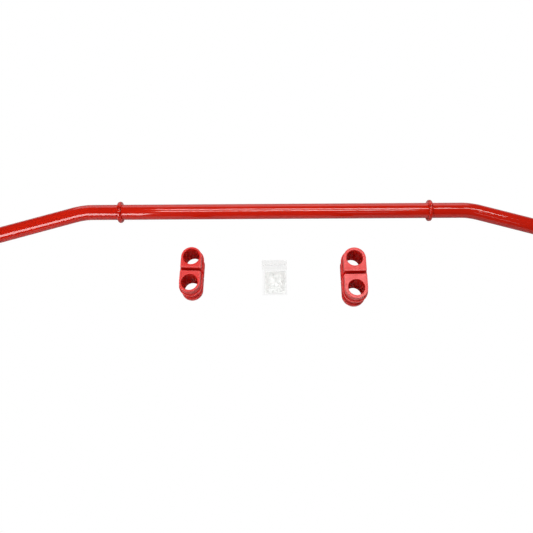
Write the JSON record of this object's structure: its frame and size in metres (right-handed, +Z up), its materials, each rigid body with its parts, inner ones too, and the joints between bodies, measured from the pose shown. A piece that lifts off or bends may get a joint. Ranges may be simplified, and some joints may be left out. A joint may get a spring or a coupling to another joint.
{
  "type": "sway bar",
  "caption": "Red powder-coated solid sway bar with eyes forged at its ends and squeezed-on collars, laid out with split D bushings and a small bag of bushing grease.",
  "frame": {"origin": "centre of the laid-out kit's footprint, on the surface that it lies on", "axes": "+X along the bar from the left eye to the right eye, +Y from the eyes towards the middle of the bar, +Z up"},
  "size_m": [1.0354, 0.3, 0.0435],
  "materials": {
    "powder_coat": "gloss red powder coat on spring steel",
    "polyurethane": "satin moulded red polyurethane",
    "clear_film": "thin clear crinkled polythene film",
    "zip_strip": "translucent press-seal strip",
    "sachet": "frosted film sachet full of pale grease"
  },
  "bodies": {
    "bar_with_collars": {"bar": "powder_coat", "left_collar": "powder_coat", "right_collar": "powder_coat"},
    "left_rear_bushing": {"left_rear_bushing": "polyurethane"},
    "left_front_bushing": {"left_front_bushing": "polyurethane"},
    "right_rear_bushing": {"right_rear_bushing": "polyurethane"},
    "right_front_bushing": {"right_front_bushing": "polyurethane"},
    "grease_bag": {"bag_film": "clear_film", "bag_zip": "zip_strip", "grease_sachet": "sachet"}
  },
  "joints": [
    {"name": "left_rear_lift", "type": "slide", "parent": "bar_with_collars", "child": "left_rear_bushing", "axis": [0, 0, 1], "range_m": [0, 0.1]},
    {"name": "left_front_lift", "type": "slide", "parent": "bar_with_collars", "child": "left_front_bushing", "axis": [0, 0, 1], "range_m": [0, 0.1]},
    {"name": "right_rear_lift", "type": "slide", "parent": "bar_with_collars", "child": "right_rear_bushing", "axis": [0, 0, 1], "range_m": [0, 0.1]},
    {"name": "right_front_lift", "type": "slide", "parent": "bar_with_collars", "child": "right_front_bushing", "axis": [0, 0, 1], "range_m": [0, 0.1]},
    {"name": "bag_lift", "type": "slide", "parent": "bar_with_collars", "child": "grease_bag", "axis": [0, 0, 1], "range_m": [0, 0.1]}
  ]
}
